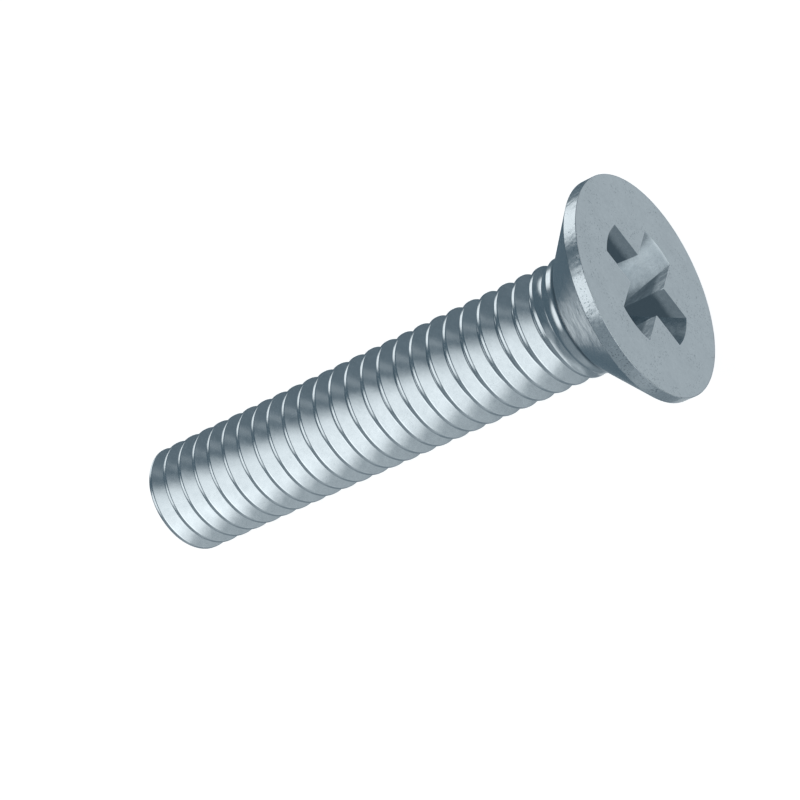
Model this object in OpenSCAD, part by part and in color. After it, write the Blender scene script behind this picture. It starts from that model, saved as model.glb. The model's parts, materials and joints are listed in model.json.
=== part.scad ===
// Countersunk machine screw, M4 x 20, 90 degree flat head with a cross recess.
// The screw lies on the ground as it comes to rest: on the lower edge of the
// head's rim and on the first full crest of the thread, with its axis rising
// slightly towards the head. X runs along the screw to the head, and Z is up.
// The origin is on the ground, below the middle of the screw.

/* [Screw] */
// Overall length, from the flat end to the face of the head
length = 20; // [16:0.5:30]

/* [Thread] */
// Diameter over the crests of the thread
thread_d = 3.93; // [3.84:0.01:3.98]
// Distance from one crest to the next, which is one turn of the thread
pitch = 0.7; // [0.5:0.05:0.8]
// Angle between the two flanks of the groove
thread_angle = 60; // [55:1:65]
// Distance from the end to the first full crest, measured where the screw touches the ground
thread_start = 0.497; // [0.45:0.001:0.6]
// Diameter of the flat end, inside its chamfer
tip_d = 3.7; // [3.3:0.05:3.8]
// Length over which the last groove runs out before the neck
run_out = 0.55; // [0.3:0.05:0.8]

/* [Head] */
// Diameter of the head over its rim
head_d = 7.54; // [7:0.02:8.4]
// Height of the straight rim between the cone and the face
rim_h = 0.44; // [0.3:0.02:0.6]
// Bevel on the edge between the rim and the face
rim_bevel = 0.07; // [0.03:0.01:0.12]
// Full angle of the cone under the head
cone_angle = 90; // [88:1:92]
// Diameter of the plain neck between the thread and the cone
neck_d = 4; // [3.98:0.01:4.1]
// Length of the plain neck, up to where the cone would start
neck_len = 0.5; // [0.4:0.02:0.8]
// Radius of the fillet between the neck and the cone
neck_fillet = 0.25; // [0.2:0.05:0.6]

/* [Cross recess] */
// Distance across two opposite wings, at the face
recess_d = 4.3; // [3.9:0.05:4.6]
// Width of a wing at the face
wing_w = 1.38; // [1.2:0.02:1.38]
// Distance across the wings where the sloping end walls meet the bottom
recess_bottom_d = 2.29; // [2.1:0.01:2.4]
// Slope of the wings' end walls, measured from the axis
end_wall_slope = 26.5; // [24:0.5:29]
// Slope of the wings' side walls, measured from the axis
side_wall_slope = 2.9; // [1:0.1:4]
// Full angle of the conical bottom
bottom_angle = 140; // [130:1:150]
// Diameter of the round core, which takes the sharp corners off the four posts
core_d = 2.07; // [2.0:0.01:2.2]
// Turn of the wings about the axis, from where the screw touches the ground
recess_turn = 65.9; // [0:0.1:90]

/* [Hidden] */

// Facets around one turn of the thread
thread_facets = 36;
// Facets of each round surface of the head, and of each bend in its outline
round_facets = 96;
fillet_steps = 5;

// Standard shares of the pitch: the flat of a crest, and the opening of the rounded root
crest_flat = pitch / 8;
root_open = pitch / 4;

thread_r = thread_d / 2;
tip_r = tip_d / 2;
head_r = head_d / 2;
neck_r = neck_d / 2;
recess_r = recess_d / 2;
recess_bottom_r = recess_bottom_d / 2;
core_r = core_d / 2;
half_angle = thread_angle / 2;
cone_slope = tan(cone_angle / 2);

// Depth of the groove where its flanks end, and at the middle of its rounded root
flank_depth = (pitch - crest_flat - root_open) / 2 / tan(half_angle);
root_radius = root_open / 2 / cos(half_angle);
root_depth = flank_depth + root_radius * (1 - sin(half_angle));

// Heights along the axis, from the flat end
rim_start = length - rim_h;
cone_start = rim_start - (head_r - neck_r) / cone_slope;
neck_start = cone_start - neck_len;
// The threaded rod reaches this far into the neck, so that the two are one solid
rod_overlap = 0.2;
rod_top = neck_start + rod_overlap;

// The screw rests on its rim and on a crest, and this is how far its axis tips up
crest_contact = thread_start - crest_flat / 2;
tilt = atan((head_r - thread_r) / (rim_start - crest_contact));
lift = head_r * cos(tilt) - rim_start * sin(tilt);
back_x = -tip_r * sin(tilt);
front_x = length * cos(tilt) + (head_r - rim_bevel) * sin(tilt);
middle_x = (back_x + front_x) / 2;

// Depth of the groove at a distance from the middle of a crest, over one pitch
groove = [
    [0, 0],
    [crest_flat / 2, 0],
    [(pitch - root_open) / 2, flank_depth],
    [pitch / 2, root_depth],
    [(pitch + root_open) / 2, flank_depth],
    [pitch - crest_flat / 2, 0],
    [pitch, 0]
];
// The lines along the thread that its faces meet on: two crest edges and three in the root
lines = [for (i = [1:5]) groove[i][0]];
line_count = len(lines);
// The lines climb round the rod, so they start below its end and go on past its top
turns_below = 2;
turns_past = 1;
turns = turns_below + ceil(rod_top / pitch) + turns_past;
row_count = turns * line_count;
// Lines closer than this to an end of the rod are taken as being on it
end_gap = 0.004;

// Height of a line of the thread at one column of facets; the thread is right-handed
function line_z(column, row) =
    thread_start + pitch * (floor(row / line_count) - turns_below + column / thread_facets)
    + lines[row % line_count];

// Share of the groove's full depth that is left as it runs out towards the neck
function run_out_share(z) = lookup(z, [[neck_start - run_out, 1], [neck_start + rod_overlap / 2, 0]]);

// Radius of the rod at one column and height: thread, run-out and end chamfer
function rod_r(column, z) =
    let (along = z - thread_start - pitch * column / thread_facets + pitch * turns)
    min(thread_r - run_out_share(z) * lookup(along % pitch, groove), tip_r + z);

function rod_point(column, z) =
    let (a = 360 * column / thread_facets, r = rod_r(column, z))
    [r * cos(a), r * sin(a), z];

// Each column has its point on the end, its points on the lines, and its point inside the neck
points_each = row_count + 2;
function rod_index(column, row) =
    let (c = column % thread_facets, z = line_z(column, row))
    let (r = row + (column == thread_facets ? line_count : 0))
    c * points_each + (z < end_gap ? 0 : z > rod_top - end_gap ? points_each - 1 : r + 1);

function is_real(t) = t[0] != t[1] && t[1] != t[2] && t[2] != t[0];

// The threaded rod as one closed skin, whose faces follow the thread's own lines
module thread_rod() {
    points = [
        for (c = [0:thread_facets - 1])
            each concat(
                [rod_point(c, 0)],
                [for (r = [0:row_count - 1]) rod_point(c, max(0, min(rod_top, line_z(c, r))))],
                [rod_point(c, rod_top)]
            ),
        [0, 0, 0],
        [0, 0, rod_top]
    ];
    end_middle = thread_facets * points_each;
    top_middle = end_middle + 1;
    sides = [
        for (c = [0:thread_facets - 1])
            for (r = [0:row_count - line_count - 2])
                let (low = rod_index(c, r), high = rod_index(c, r + 1))
                let (next_low = rod_index(c + 1, r), next_high = rod_index(c + 1, r + 1))
                for (t = [[low, high, next_high], [low, next_high, next_low]])
                    if (is_real(t)) t
    ];
    ends = [
        for (c = [0:thread_facets - 1])
            let (here = c * points_each, next = ((c + 1) % thread_facets) * points_each)
            for (t = [
                [end_middle, here, next],
                [top_middle, next + points_each - 1, here + points_each - 1]
            ]) t
    ];
    polyhedron(points = points, faces = concat(sides, ends), convexity = 10);
}

// Points of the fillet from the neck's wall to the cone, which bends by half the cone's angle
function fillet_points() =
    let (bend = cone_angle / 2, reach = neck_fillet * tan(bend / 2))
    [for (i = [0:fillet_steps])
        let (a = bend * i / fillet_steps)
        [neck_r + neck_fillet * (1 - cos(a)), cone_start - reach + neck_fillet * sin(a)]];

// Neck, fillet, cone and rim, turned about the axis
module head_blank() {
    rotate_extrude($fn = round_facets)
        polygon(concat(
            [[0, neck_start], [neck_r, neck_start]],
            fillet_points(),
            [
                [head_r, rim_start],
                [head_r, length - rim_bevel],
                [head_r - rim_bevel, length],
                [0, length]
            ]
        ));
}

// The cutter stands this far out of the face
above = 0.3;
end_wall_depth = (recess_r - recess_bottom_r) / tan(end_wall_slope);
recess_depth = end_wall_depth + recess_bottom_r / tan(bottom_angle / 2);

// The round outline that the wings' end walls and the bottom follow
module recess_cone() {
    rotate_extrude($fn = round_facets)
        polygon([
            [0, length - recess_depth],
            [recess_bottom_r, length - end_wall_depth],
            [recess_r + above * tan(end_wall_slope), length + above],
            [0, length + above]
        ]);
}

// One slot through the recess, for two opposite wings, narrower towards the bottom
module wing_slot() {
    low = wing_w / 2 - (recess_depth + above) * tan(side_wall_slope);
    high = wing_w / 2 + above * tan(side_wall_slope);
    rotate([90, 0, 0])
        linear_extrude(height = 2 * recess_d, center = true)
            polygon([
                [-low, length - recess_depth - above],
                [low, length - recess_depth - above],
                [high, length + above],
                [-high, length + above]
            ]);
}

// The round core between the four posts
module recess_core() {
    depth = recess_depth + above;
    translate([0, 0, length - depth])
        cylinder(
            h = depth + above,
            r1 = core_r - depth * tan(side_wall_slope),
            r2 = core_r + above * tan(side_wall_slope),
            $fn = round_facets
        );
}

module cross_recess() {
    rotate([0, 0, recess_turn])
        intersection() {
            recess_cone();
            union() {
                wing_slot();
                rotate([0, 0, 90]) wing_slot();
                recess_core();
            }
        }
}

// The screw on its own axis, which is Z, with the flat end at the origin
module upright_screw() {
    thread_rod();
    difference() {
        head_blank();
        cross_recess();
    }
}

// The screw laid down on its rim and its first full crest
module screw() {
    color([0.66, 0.72, 0.76])
        translate([-middle_x, 0, lift])
            rotate([0, 90 - tilt, 0])
                upright_screw();
}

screw();
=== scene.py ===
# %% [markdown]
# A countersunk machine screw. The real one is a piece of steel wire whose head was pressed
# in a die together with its cross recess, whose thread was rolled between two plates, and
# which was then plated with zinc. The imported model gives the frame, the place and the length,
# so it is loaded first, and everything made here is set into its box.

# %% The frame
import json
import math

import bmesh
import bpy
from mathutils import Matrix, Vector


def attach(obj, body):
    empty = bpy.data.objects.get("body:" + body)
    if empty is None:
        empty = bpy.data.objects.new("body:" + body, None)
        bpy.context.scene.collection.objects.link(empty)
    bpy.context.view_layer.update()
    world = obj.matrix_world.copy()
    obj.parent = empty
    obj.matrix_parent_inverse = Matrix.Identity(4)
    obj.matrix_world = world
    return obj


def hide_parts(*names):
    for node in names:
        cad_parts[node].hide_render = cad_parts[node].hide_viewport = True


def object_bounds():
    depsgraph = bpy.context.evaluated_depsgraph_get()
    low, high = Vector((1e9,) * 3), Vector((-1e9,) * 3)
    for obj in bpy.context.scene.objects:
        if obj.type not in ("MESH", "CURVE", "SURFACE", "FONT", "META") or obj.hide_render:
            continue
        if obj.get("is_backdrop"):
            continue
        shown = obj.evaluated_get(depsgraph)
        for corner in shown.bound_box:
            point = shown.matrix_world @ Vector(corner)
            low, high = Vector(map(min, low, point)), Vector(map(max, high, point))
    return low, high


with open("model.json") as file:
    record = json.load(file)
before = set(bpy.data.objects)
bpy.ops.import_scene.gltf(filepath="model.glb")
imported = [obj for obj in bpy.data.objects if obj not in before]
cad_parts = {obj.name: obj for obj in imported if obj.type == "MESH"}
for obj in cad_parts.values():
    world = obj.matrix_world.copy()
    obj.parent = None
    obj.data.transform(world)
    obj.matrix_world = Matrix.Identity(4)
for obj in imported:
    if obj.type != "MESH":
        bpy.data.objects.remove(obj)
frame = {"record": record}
cad_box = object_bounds()
print("frame:", [[round(c * 1000, 2) for c in corner] for corner in cad_box], "mm")

# %% [markdown]
# The screw lies on the floor on its head's rim and on its thread, so its axis is tipped up a
# little. It is easier to model it upright, in millimetres, with its flat end at the origin
# and its axis along Z, and to lay it down at the end. The record's two flat faces say where
# the axis starts and ends, and that is all that the laying down needs.

# %% From the bench to the floor
MM = 0.001
places = {m["name"]: Vector(m["pos_m"]) for m in frame["record"]["mounts"]}
end_place, face_place = places["end_face"], places["head_face"]
axis = (face_place - end_place).normalized()
sideways = Vector((0, 1, 0))
downwards = sideways.cross(axis)
length = (face_place - end_place).length / MM
turned = Matrix((downwards, sideways, axis)).transposed().to_4x4()
lay_down = Matrix.Translation(end_place) @ turned @ Matrix.Scale(MM, 4)
print(f"length {length:.2f} mm, tipped up by {math.degrees(math.asin(axis.z)):.2f} degrees")

# %% [markdown]
# A rolled thread has the same cross section all along: a flat crest with slightly rounded
# edges, two straight flanks with 60 degrees between them, and a rounded root. One pitch of it
# is drawn as a chain of points. Short steps just before and after each rounding keep the
# shading of the long flanks flat, because shading is blended over faces.

# %% The thread's cross section
PITCH = 0.7
CREST_R = 1.965
CREST_FLAT = 0.12
ROOT_OPEN = 0.09
FLANK_TURN = math.radians(60)
EDGE_R = 0.045
ROUND_STEPS = 3
SUPPORT = 0.012
ROOT_R = ROOT_OPEN / 2 / math.sin(FLANK_TURN)
flank_depth = (PITCH - CREST_FLAT - ROOT_OPEN) / 2 * math.tan(FLANK_TURN)
root_depth = flank_depth + ROOT_R * (1 - math.cos(FLANK_TURN))


def half_section():
    """Points from the middle of a crest to the middle of the root: distance along, depth."""
    start = CREST_FLAT / 2 - EDGE_R * math.tan(FLANK_TURN / 2)
    points = [(0, 0)]
    for step in range(ROUND_STEPS + 1):
        a = FLANK_TURN * step / ROUND_STEPS
        points.append((start + EDGE_R * math.sin(a), EDGE_R * (1 - math.cos(a))))
    along = Vector((math.cos(FLANK_TURN), math.sin(FLANK_TURN))) * SUPPORT
    points.append(tuple(Vector(points[-1]) + along))
    arc = []
    for step in range(ROUND_STEPS + 1):
        a = FLANK_TURN * (1 - step / ROUND_STEPS)
        arc.append((PITCH / 2 - ROOT_R * math.sin(a), root_depth - ROOT_R * (1 - math.cos(a))))
    points.append(tuple(Vector(arc[0]) - along))
    return points + arc


half = half_section()
section = half + [(PITCH - s, d) for s, d in reversed(half[:-1])]
print(f"{len(section)} points a pitch, groove {root_depth:.3f} mm deep")

# %% [markdown]
# The section is spun about the axis and climbs by one pitch on the way round, which gives
# one full turn of the thread. Copies of that turn stand on each other, and their common
# edges are merged. The stack is longer than the screw and is cut to length.

# %% Winding the thread
SEGMENTS = 120
THREAD_START = 0.497
TURNS_BELOW = 2
NECK_START = 17.29
CUT_TOP = NECK_START + 0.3


def wind_thread():
    bm = bmesh.new()
    first = THREAD_START - TURNS_BELOW * PITCH
    chain = [bm.verts.new((CREST_R - d, 0, first + s)) for s, d in section]
    for low, high in zip(chain, chain[1:]):
        bm.edges.new((low, high))
    bmesh.ops.spin(
        bm, geom=bm.verts[:] + bm.edges[:], cent=(0, 0, 0), axis=(0, 0, 1),
        dvec=(0, 0, PITCH / SEGMENTS), angle=math.tau, steps=SEGMENTS,
        use_merge=False, use_duplicate=False,
    )
    one_turn = bm.verts[:] + bm.edges[:] + bm.faces[:]
    for level in range(1, math.ceil((CUT_TOP - first) / PITCH) + 1):
        made = bmesh.ops.duplicate(bm, geom=one_turn)["geom"]
        copied = [v for v in made if isinstance(v, bmesh.types.BMVert)]
        bmesh.ops.translate(bm, vec=(0, 0, level * PITCH), verts=copied)
    bmesh.ops.remove_doubles(bm, verts=bm.verts[:], dist=0.001)
    return bm


def cut_across(bm, z, clear_above=False, clear_below=False):
    bmesh.ops.bisect_plane(
        bm, geom=bm.verts[:] + bm.edges[:] + bm.faces[:], dist=0.0005,
        plane_co=(0, 0, z), plane_no=(0, 0, 1),
        clear_outer=clear_above, clear_inner=clear_below,
    )


screw = wind_thread()
cut_across(screw, 0, clear_below=True)
cut_across(screw, CUT_TOP, clear_above=True)
print(f"thread: {len(screw.verts)} points")

# %% [markdown]
# The blank that was rolled ends in a small chamfer, and near the head the groove runs out
# into a plain neck. Both are made by moving points straight out or in: no point may stand
# outside the chamfer's cone, and the groove gets shallower where it runs out. A few cuts
# across the end come first, so that the chamfer has points enough to lie flat.

# %% The chamfer and the run-out
TIP_R = 1.85
CHAMFER_CUTS = 5
RUN_OUT = 0.5
RUN_PAST = 0.25
NECK_R = 2.0
SWELL = NECK_START - 0.3, NECK_START - 0.1
for step in range(1, CHAMFER_CUTS + 1):
    cut_across(screw, (CREST_R - TIP_R) * step / CHAMFER_CUTS)


def smooth_share(value, low, high):
    """0 up to low, 1 from high on, and a soft slope between them."""
    t = min(1, max(0, (value - low) / (high - low)))
    return t * t * (3 - 2 * t)


for v in screw.verts:
    r = v.co.xy.length
    groove_left = 1 - min(1, max(0, (v.co.z - NECK_START + RUN_OUT) / (RUN_OUT + RUN_PAST)))
    full = CREST_R + (NECK_R - CREST_R) * smooth_share(v.co.z, *SWELL)
    new = min(full - groove_left * (CREST_R - r), TIP_R + v.co.z)
    v.co.xy *= new / r
print(f"chamfer {CREST_R - TIP_R:.3f} mm high, run-out {RUN_OUT + RUN_PAST:.2f} mm long")

# %% [markdown]
# The neck, the fillet, the cone, the rim and the face are all round, so one outline
# describes them. Its corners are rounded: the fillet under the cone is large, and the rim's
# two edges are nearly sharp, as the die leaves them.

# %% The outline of the head
HEAD_R = 3.77
RIM_H = 0.44
FILLET_R = 0.25
RIM_EDGE_R = 0.03
FACE_EDGE_R = 0.01
FILLET_STEPS = 6
rim_start = length - RIM_H
cone_start = rim_start - (HEAD_R - NECK_R)


def rounded(before, corner, after, radius, steps):
    """Points of an arc that rounds a corner, with a short support step at each end."""
    back, on = (before - corner).normalized(), (after - corner).normalized()
    half_angle = back.angle(on) / 2
    reach = radius / math.tan(half_angle)
    centre = corner + (back + on).normalized() * (radius / math.sin(half_angle))
    start, end = corner + back * reach, corner + on * reach
    points = [start + back * SUPPORT]
    for step in range(steps + 1):
        points.append(centre + (start - centre).normalized().slerp(
            (end - centre).normalized(), step / steps) * radius)
    return points + [end + on * SUPPORT]


corners = [
    Vector((NECK_R, CUT_TOP)), Vector((NECK_R, cone_start)), Vector((HEAD_R, rim_start)),
    Vector((HEAD_R, length)), Vector((0, length)),
]
ROUNDINGS = [(FILLET_R, FILLET_STEPS), (RIM_EDGE_R, ROUND_STEPS), (FACE_EDGE_R, ROUND_STEPS)]
outline = []
for before, corner, after, (radius, steps) in zip(corners, corners[1:], corners[2:], ROUNDINGS):
    outline += rounded(before, corner, after, radius, steps)
print(f"{len(outline)} rings from the neck to the face")

# %% [markdown]
# The head could be a turned piece of its own, but then a seam would show where it meets the
# thread. So the open top edge of the thread is carried on along the outline: it is extruded,
# and each new ring is scaled to its radius and moved to its height. At last the face and the
# flat end are closed.

# %% Turning the head
FLAT_ENOUGH = 0.01


def open_edges(bm, z):
    return [e for e in bm.edges
            if e.is_boundary and all(abs(v.co.z - z) < FLAT_ENOUGH for v in e.verts)]


ring = open_edges(screw, CUT_TOP)
for target in outline:
    made = bmesh.ops.extrude_edge_only(screw, edges=ring)["geom"]
    ring = [e for e in made if isinstance(e, bmesh.types.BMEdge)]
    for v in {v for e in ring for v in e.verts}:
        v.co.xy *= target.x / v.co.xy.length
        v.co.z = target.y
ends = bmesh.ops.holes_fill(screw, edges=ring + open_edges(screw, 0), sides=0)["faces"]
bmesh.ops.recalc_face_normals(screw, faces=screw.faces[:])
print(f"{len(ends)} flat ends closed")

# %% [markdown]
# A bmesh is only a workbench. To be cut by another piece, or to be rendered, its mesh has to
# belong to an object, and one helper does that for every piece.

# %% A mesh on the bench
def bench_piece(bm, name):
    mesh = bpy.data.meshes.new(name)
    bm.to_mesh(mesh)
    bm.free()
    piece = bpy.data.objects.new(name, mesh)
    bpy.context.scene.collection.objects.link(piece)
    return piece


def triangles(piece):
    return sum(len(f.vertices) - 2 for f in piece.data.polygons)


blank = bench_piece(screw, "zinc_screw")
print(f"blank: {triangles(blank)} triangles")

# %% [markdown]
# The cross recess was pressed by a punch: four wings with steep end walls that lie on one
# cone, a shallow conical bottom, and a round core. The punch is modelled as the real one is
# ground, from a turned cone and two crossing slots, and is then taken out of the head.

# %% The punch
RECESS_R = 2.15
WING_W = 1.38
BOTTOM_R = 1.145
CORE_R = 1.035
END_SLOPE = math.tan(math.radians(26.5))
SIDE_SLOPE = math.tan(math.radians(2.9))
BOTTOM_ANGLE = math.radians(140)
RECESS_TURN = math.radians(65.9)
ABOVE = 0.3
PUNCH_STEPS = 96
wall_depth = (RECESS_R - BOTTOM_R) / END_SLOPE
recess_depth = wall_depth + BOTTOM_R / math.tan(BOTTOM_ANGLE / 2)
tool_height = recess_depth + 2 * ABOVE
tool_middle = length + ABOVE - tool_height / 2


def turned_punch():
    bm = bmesh.new()
    profile = [
        (0, length - recess_depth), (BOTTOM_R, length - wall_depth),
        (RECESS_R + ABOVE * END_SLOPE, length + ABOVE), (0, length + ABOVE),
    ]
    chain = [bm.verts.new((r, 0, z)) for r, z in profile]
    for low, high in zip(chain, chain[1:]):
        bm.edges.new((low, high))
    bmesh.ops.spin(
        bm, geom=bm.verts[:] + bm.edges[:], cent=(0, 0, 0), axis=(0, 0, 1),
        angle=math.tau, steps=PUNCH_STEPS, use_merge=True, use_duplicate=False,
    )
    bmesh.ops.remove_doubles(bm, verts=bm.verts[:], dist=0.0001)
    bmesh.ops.recalc_face_normals(bm, faces=bm.faces[:])
    return bench_piece(bm, "turned_punch")


def wing_pair(turn):
    bm = bmesh.new()
    bmesh.ops.create_cube(bm, size=1)
    bmesh.ops.scale(bm, vec=(WING_W, 4 * RECESS_R, tool_height), verts=bm.verts[:])
    bmesh.ops.translate(bm, vec=(0, 0, tool_middle), verts=bm.verts[:])
    for v in bm.verts:
        v.co.x += math.copysign((v.co.z - length) * SIDE_SLOPE, v.co.x)
    bmesh.ops.rotate(bm, verts=bm.verts[:], matrix=Matrix.Rotation(turn, 3, "Z"))
    return bench_piece(bm, "wing_pair")


def round_core():
    bm = bmesh.new()
    bmesh.ops.create_cone(
        bm, cap_ends=True, segments=PUNCH_STEPS, depth=tool_height,
        radius1=CORE_R - (tool_height - ABOVE) * SIDE_SLOPE,
        radius2=CORE_R + ABOVE * SIDE_SLOPE,
    )
    bmesh.ops.translate(bm, vec=(0, 0, tool_middle), verts=bm.verts[:])
    return bench_piece(bm, "round_core")


def carve(piece, operation, other):
    """Joins, crosses or takes out another piece, which is then gone."""
    tool = piece.modifiers.new("carve", "BOOLEAN")
    tool.operation, tool.object, tool.solver = operation, other, "EXACT"
    shown = piece.evaluated_get(bpy.context.evaluated_depsgraph_get())
    result = bpy.data.meshes.new_from_object(shown)
    piece.modifiers.remove(tool)
    piece.data = result
    bpy.data.objects.remove(other)
    return piece


cross = carve(wing_pair(RECESS_TURN), "UNION", wing_pair(RECESS_TURN + math.pi / 2))
cross = carve(cross, "UNION", round_core())
punch = carve(turned_punch(), "INTERSECT", cross)
print(f"punch: {len(punch.data.polygons)} faces, {recess_depth:.2f} mm deep")

# %% [markdown]
# The punch is taken out of the blank, and the screw is laid down by moving the mesh and not
# the object, which stays unturned at the origin. Its faces are shaded smooth apart from real
# edges, such as the recess's mouth, which are marked by the angle between their faces.

# %% Pressing the recess and laying the screw down
SHARP_FROM = math.radians(32)
body = carve(blank, "DIFFERENCE", punch)
body.data.transform(lay_down)
body.data.shade_smooth()
body.data.set_sharp_from_angle(angle=SHARP_FROM)
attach(body, "root")
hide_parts("screw")
print(f"screw: {triangles(body)} triangles")

# %% [markdown]
# The camera looks down at the screw from the side of its head, from far off and through a
# long lens, and it is rolled on its side so that the screw rises across the picture. Its
# place and turn were fitted to the outlines in the photograph.

# %% The camera
AZIMUTH, ELEVATION, ROLL = 41.683, 45.072, 53.370
CAMERA_PLACE = Vector((35.7356, -40.2585, 56.8972)) * MM


def direction(azimuth, elevation):
    """Azimuth 0 is in front, at the screw's long side, and 90 is at its head."""
    a, e = math.radians(azimuth), math.radians(elevation)
    return Vector((math.sin(a) * math.cos(e), -math.cos(a) * math.cos(e), math.sin(e)))


camera = bpy.data.objects.new("camera", bpy.data.cameras.new("camera"))
bpy.context.scene.collection.objects.link(camera)
camera.rotation_mode = "QUATERNION"
level_view = (-direction(AZIMUTH, ELEVATION)).to_track_quat("-Z", "Y")
roll = Matrix.Rotation(-math.radians(ROLL), 3, "Z").to_quaternion()
camera.rotation_quaternion = level_view @ roll
camera.location = CAMERA_PLACE
camera.data.lens = 102.78
camera.data.sensor_width = 36
camera.data.clip_start, camera.data.clip_end = 0.005, 10
bpy.context.scene.camera = camera
print(f"camera: {CAMERA_PLACE.length / MM:.0f} mm away, lens {camera.data.lens:.0f} mm")

# %% [markdown]
# The finishes are made of shader nodes. A node's number can be worked with like any other
# number if it is wrapped in a small class whose plus, minus and times each add a Math node,
# so the formulas below read as formulas. Every other node comes from one function, which
# sets the node's own settings first and then fills or links its sockets.

# %% Nodes as values
class Value:
    def __init__(self, socket):
        self.socket = socket

    def math(self, operation, other, flip=False):
        pair = [other, self] if flip else [self, other]
        node = add(self.socket.id_data, "ShaderNodeMath", {"operation": operation},
                   dict(enumerate(pair)))
        return Value(node.outputs[0])

    def __add__(self, other):
        return self.math("ADD", other)

    def __radd__(self, other):
        return self.math("ADD", other)

    def __sub__(self, other):
        return self.math("SUBTRACT", other)

    def __rsub__(self, other):
        return self.math("SUBTRACT", other, flip=True)

    def __mul__(self, other):
        return self.math("MULTIPLY", other)

    def __rmul__(self, other):
        return self.math("MULTIPLY", other)

    def between(self, low, high):
        """0 up to low, 1 from high on, and a soft slope between them."""
        node = add(self.socket.id_data, "ShaderNodeMapRange",
                   {"interpolation_type": "SMOOTHSTEP"},
                   {"Value": self, "From Min": low, "From Max": high})
        return Value(node.outputs["Result"])


def add(tree, kind, settings=None, sockets=None):
    """A node with its settings, then its sockets' values or links."""
    node = tree.nodes.new(kind)
    for name, value in (settings or {}).items():
        setattr(node, name, value)
    for name, value in (sockets or {}).items():
        if isinstance(value, Value):
            value = value.socket
        if isinstance(value, bpy.types.NodeSocket):
            tree.links.new(value, node.inputs[name])
        else:
            node.inputs[name].default_value = value
    return node


print("a Value can be added, taken away, multiplied and put between two limits")

# %% [markdown]
# Both finishes, the zinc and the floor, need the same few things: an empty material, soft
# spots of a chosen size, a mix of two colours, and how nearly two directions agree.

# %% Helpers for the finishes
def empty_material(name):
    material = bpy.data.materials.new(name)
    material.use_nodes = True
    material.node_tree.nodes.clear()
    return material


def facing(tree, one, other):
    """1 where two directions are the same, 0 where they are square to each other."""
    return Value(add(tree, "ShaderNodeVectorMath", {"operation": "DOT_PRODUCT"},
                     {0: one, 1: other}).outputs["Value"])


def mixed(tree, share, none, full):
    return add(tree, "ShaderNodeMix", {"data_type": "RGBA"},
               {0: share, 6: none, 7: full}).outputs[2]


def noise(tree, place, size, detail, along=1.0):
    """Soft spots of about this size, from 0 to 1, and longer across the axis if asked."""
    if along != 1:
        place = add(tree, "ShaderNodeVectorMath", {"operation": "MULTIPLY"},
                    {0: place, 1: (1 / along, 1 / along, 1)}).outputs[0]
    node = add(tree, "ShaderNodeTexNoise", {},
               {"Vector": place, "Scale": 1 / size, "Detail": detail, "Roughness": 0.55})
    return Value(node.outputs["Fac"])


print("helpers for an empty material, a direction, a mix and soft spots")

# %% [markdown]
# The finish isn't the same all over the screw. The rolled thread is even and the head is
# mottled. The recess and the root of the groove get painted shade: their colour is darkened to
# stand for the darkness in them, because the screw doesn't mirror itself here. Masks tell these
# zones apart, all in millimetres on the bench. The recess's walls are shaded alike on all
# sides, and the steep ones get darker with depth.

# %% The zones of the screw
HEAD_ZONE = cone_start - 0.1, cone_start + 0.2
LAND_ZONE = HEAD_R - 0.03, HEAD_R - 0.01
FACE_ZONE = length - 0.1, length - 0.05
MOUTH_ZONE = RECESS_R - 0.05, RECESS_R + 0.05
DEEP_ZONE = length - 0.6, length - 0.25
BOTTOM_ZONE = length - recess_depth, length - 0.8
ROOT_ZONE = CREST_R - root_depth, CREST_R - root_depth + 0.04
ALONG_AXIS = 0.98, 0.99
LEVEL_ENOUGH = 0.1, 0.4
# How much painted shade darkens the recess (a little less on its steep walls near the mouth,
# more deep down and on its bottom) and the root of the groove
PAINTED_RECESS_SHADE, STEEP_LESS_PAINTED_SHADE, DEEP_PAINTED_SHADE, BOTTOM_PAINTED_SHADE, ROOT_PAINTED_SHADE = 0.46, 0.14, 0.65, 0.34, 0.2


def zones(tree, bench, normal):
    """Masks of head, rim and face, and the painted shade in the recess and the root."""
    parts = add(tree, "ShaderNodeSeparateXYZ", {}, {0: bench})
    height = Value(parts.outputs["Z"])
    flat = add(tree, "ShaderNodeCombineXYZ", {}, {0: parts.outputs["X"], 1: parts.outputs["Y"]})
    spoke = add(tree, "ShaderNodeVectorMath", {"operation": "LENGTH"}, {0: flat.outputs[0]})
    out = Value(spoke.outputs["Value"])
    upright = facing(tree, normal, axis)
    head = height.between(*HEAD_ZONE)
    land = out.between(*LAND_ZONE)
    face = upright.between(*ALONG_AXIS) * height.between(*FACE_ZONE)
    recess = (1 - out.between(*MOUTH_ZONE)) * (1 - face) * head
    steep = 1 - upright.between(*LEVEL_ENOUGH)
    deep = 1 - height.between(*DEEP_ZONE)
    bottom = 1 - height.between(*BOTTOM_ZONE)
    # Painted shade in the recess, stronger deep on the steep walls and on the bottom
    recess_painted_shade = PAINTED_RECESS_SHADE + steep * (deep * DEEP_PAINTED_SHADE - STEEP_LESS_PAINTED_SHADE) + bottom * BOTTOM_PAINTED_SHADE
    # Painted shade along the root of the thread's groove, but not on the head
    root = (1 - out.between(*ROOT_ZONE)) * (1 - head)
    return head, land, face, recess * recess_painted_shade + root * ROOT_PAINTED_SHADE


print(f"head zone from {HEAD_ZONE[0]:.2f} mm, face zone from {FACE_ZONE[0]:.2f} mm")

# %% [markdown]
# Zinc plating is thin and bluish, and it follows the steel under it. So one colour ramp from
# dark to bright zinc carries soft clouds, a fine grain, stains, small specks and the painted
# shade of the recess and the root, and a slight relief bends the reflections, in long waves on
# the thread and in rounder ones on the head. Everything is metal, and the same clouds make it a
# little rougher or smoother.

# %% The zinc
ZINC_DULL = (0.17, 0.22, 0.25, 1)
ZINC_BRIGHT = (0.76, 0.815, 0.835, 1)
PLAIN_TONE = 0.83


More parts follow.
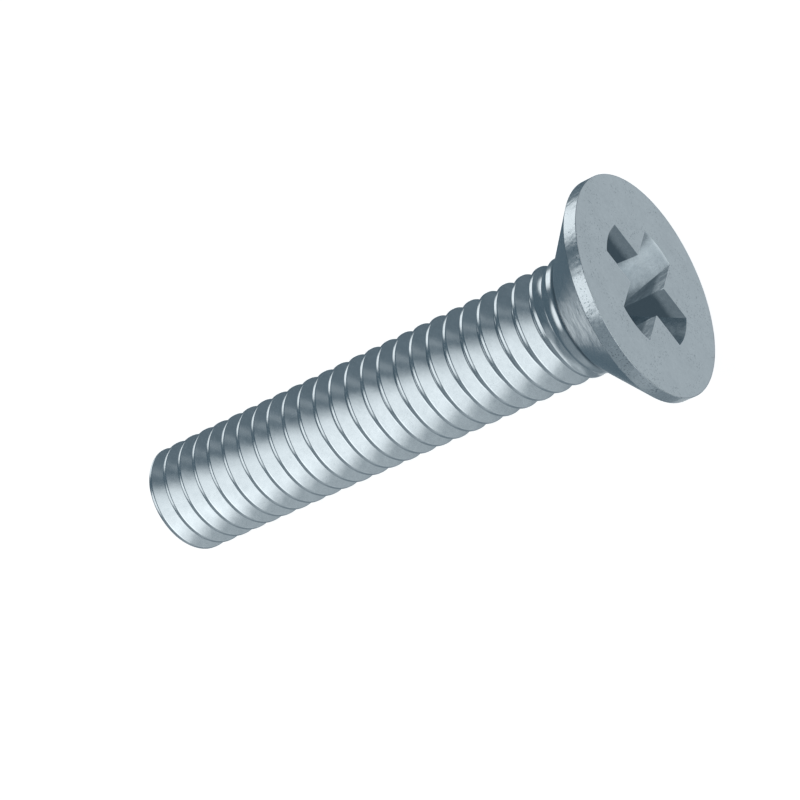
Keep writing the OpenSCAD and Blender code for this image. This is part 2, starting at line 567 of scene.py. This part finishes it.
def zinc_plate():
    material = empty_material("zinc_plate")
    tree = material.node_tree
    coordinates = add(tree, "ShaderNodeTexCoord")
    bench = add(tree, "ShaderNodeMapping", {"vector_type": "TEXTURE"}, {
        "Vector": coordinates.outputs["Object"], "Location": end_place,
        "Rotation": turned.to_euler(), "Scale": (MM, MM, MM),
    }).outputs[0]
    head, land, face, painted_shade = zones(tree, bench, coordinates.outputs["Normal"])

    waves = (noise(tree, bench, size=0.45, detail=1, along=2.5) * (1 - head)
             + noise(tree, bench, size=0.6, detail=2) * head)
    cloud = noise(tree, bench, size=0.16, detail=3)
    grain = noise(tree, bench, size=0.035, detail=2)
    stain = noise(tree, bench, size=0.9, detail=4)
    crowd = noise(tree, bench, size=0.7, detail=2).between(0.42, 0.6)
    specks = noise(tree, bench, size=0.055, detail=1).between(0.6, 0.68) * crowd

    # The painted shade of the recess and the groove's root darkens the tone towards the dark
    # end of the ramp
    tone = (PLAIN_TONE + (cloud - 0.5) * 0.26 + (grain - 0.5) * 0.2 + (stain - 0.5) * 0.25
            - specks * (0.08 + face * 0.3 + land * 0.45) - painted_shade)
    roughness = 0.2 + head * 0.05 + face * 0.06 + (cloud - 0.5) * 0.1
    relief = (waves * (0.018 + land * 0.012 - face * 0.008) + cloud * (0.0012 + land * 0.003)
              + grain * (0.0001 + land * 0.0003 + face * 0.0002))
    bump = add(tree, "ShaderNodeBump", {}, {"Height": relief, "Strength": 1.0, "Distance": MM})
    shader = add(tree, "ShaderNodeBsdfPrincipled", {}, {
        "Base Color": mixed(tree, tone, ZINC_DULL, ZINC_BRIGHT), "Roughness": roughness,
        "Metallic": 1.0, "Normal": bump.outputs[0],
    })
    add(tree, "ShaderNodeOutputMaterial", {}, {0: shader.outputs[0]})
    return material


zinc = zinc_plate()
body.data.materials.clear()
body.data.materials.append(zinc)
body.visible_glossy = False
print(f"zinc plate: {len(zinc.node_tree.nodes)} nodes")

# %% [markdown]
# The photograph's background is white from edge to edge, like paper that is lit from below.
# The floor is such a light table: it glows almost evenly, with the faint clouds of the paper's
# fibres, and a little of the daylight on it lets the screw leave a soft shadow. Neither the
# floor nor the screw shows up in the screw's reflections, because in the photograph the metal
# only mirrors the soft lights around it.

# %% The floor
PAPER = (0.45, 0.45, 0.45, 1)
PAPER_CLOUDED = (0.43, 0.435, 0.44, 1)
FLOOR_HALF = 0.5
FIBRES = 4 * MM
GLOW = 0.87


def light_table():
    material = empty_material("light_table")
    tree = material.node_tree
    place = add(tree, "ShaderNodeTexCoord").outputs["Object"]
    fibres = noise(tree, place, size=FIBRES, detail=3)
    paper = add(tree, "ShaderNodeBsdfPrincipled", {}, {
        "Base Color": mixed(tree, fibres, PAPER, PAPER_CLOUDED), "Roughness": 1.0,
        "Specular IOR Level": 0.0, "Emission Color": (1, 1, 1, 1), "Emission Strength": GLOW,
    })
    add(tree, "ShaderNodeOutputMaterial", {}, {0: paper.outputs[0]})
    return material


grid = bmesh.new()
bmesh.ops.create_grid(grid, x_segments=1, y_segments=1, size=FLOOR_HALF)
floor = bench_piece(grid, "floor")
floor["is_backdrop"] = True
floor.visible_glossy = False
floor.data.materials.append(light_table())
print(f"floor: {2 * FLOOR_HALF:.0f} m square")

# %% [markdown]
# Metal looks like what it mirrors, so the studio decides most of the picture. Lamps with hard
# edges would show as hard patches on the flanks. The lights are soft round cards painted on
# the sky instead, each full up to one angle and gone at another, over a bluish gloom.

# %% The studio
# Azimuth and elevation of the card, angle where it is full, angle where it ends, strength
SOFT_LIGHTS = {
    "wall at the head": (79, 10, 13, 45, 0.98),
    "low wall at the head": (72, -44, 14, 40, 0.12),
    "front": (40, 8, 15, 40, 0.85),
    "low front": (22, -30, 20, 42, 0.26),
    "above the front": (20, 46, 8, 26, 0.25),
    "above the tip": (-63, 50, 13, 27, 1.0),
    "back of the tip": (-157, 27, 15, 29, 1.05),
    "under the head": (112, -52, 26, 50, 0.22),
    "beyond the face": (138, -42, 8, 24, 0.17),
    "behind the head": (150, -6, 14, 46, 0.05),
    "small one behind the head": (133, 9, 2, 7, 0.2),
    "past the tip": (-30, -8, 25, 50, 0.15),
    "low at the tip": (-40, -58, 20, 45, 0.12),
    "low behind the tip": (-140, -62, 5, 18, 0.4),
    "glint on the cone": (-113, -31, 2, 8, 1.0),
}
GLOOM = (0.1, 0.145, 0.18, 1)
scene = bpy.context.scene
scene.view_settings.view_transform = "Standard"
world = bpy.data.worlds.new("studio")
scene.world = world
world.use_nodes = True
world.cycles.sampling_method = "NONE"
tree = world.node_tree
tree.nodes.clear()
towards = add(tree, "ShaderNodeTexCoord").outputs["Generated"]
total = 0
for azimuth, elevation, inner, outer, strength in SOFT_LIGHTS.values():
    near = facing(tree, towards, direction(azimuth, elevation))
    lit = near.between(math.cos(math.radians(outer)), math.cos(math.radians(inner)))
    total = total + lit * strength
lights = add(tree, "ShaderNodeBackground", {}, {"Color": (1, 1, 1, 1), "Strength": total})
gloom = add(tree, "ShaderNodeBackground", {}, {"Color": GLOOM, "Strength": 1.0})
both = add(tree, "ShaderNodeAddShader", {}, {0: lights.outputs[0], 1: gloom.outputs[0]})
add(tree, "ShaderNodeOutputWorld", {}, {0: both.outputs[0]})
print(f"studio: {len(SOFT_LIGHTS)} soft lights")

# %% [markdown]
# The dressed screw should fill the same box as the imported one, so at the end the script
# prints how far its box reaches past the imported one's.

# %% The box
visual_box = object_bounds()
past_low = max(c - v for c, v in zip(cad_box[0], visual_box[0]))
past_high = max(v - c for c, v in zip(cad_box[1], visual_box[1]))
print(f"box: at most {max(past_low, past_high) / MM:.3f} mm past the packed model's")
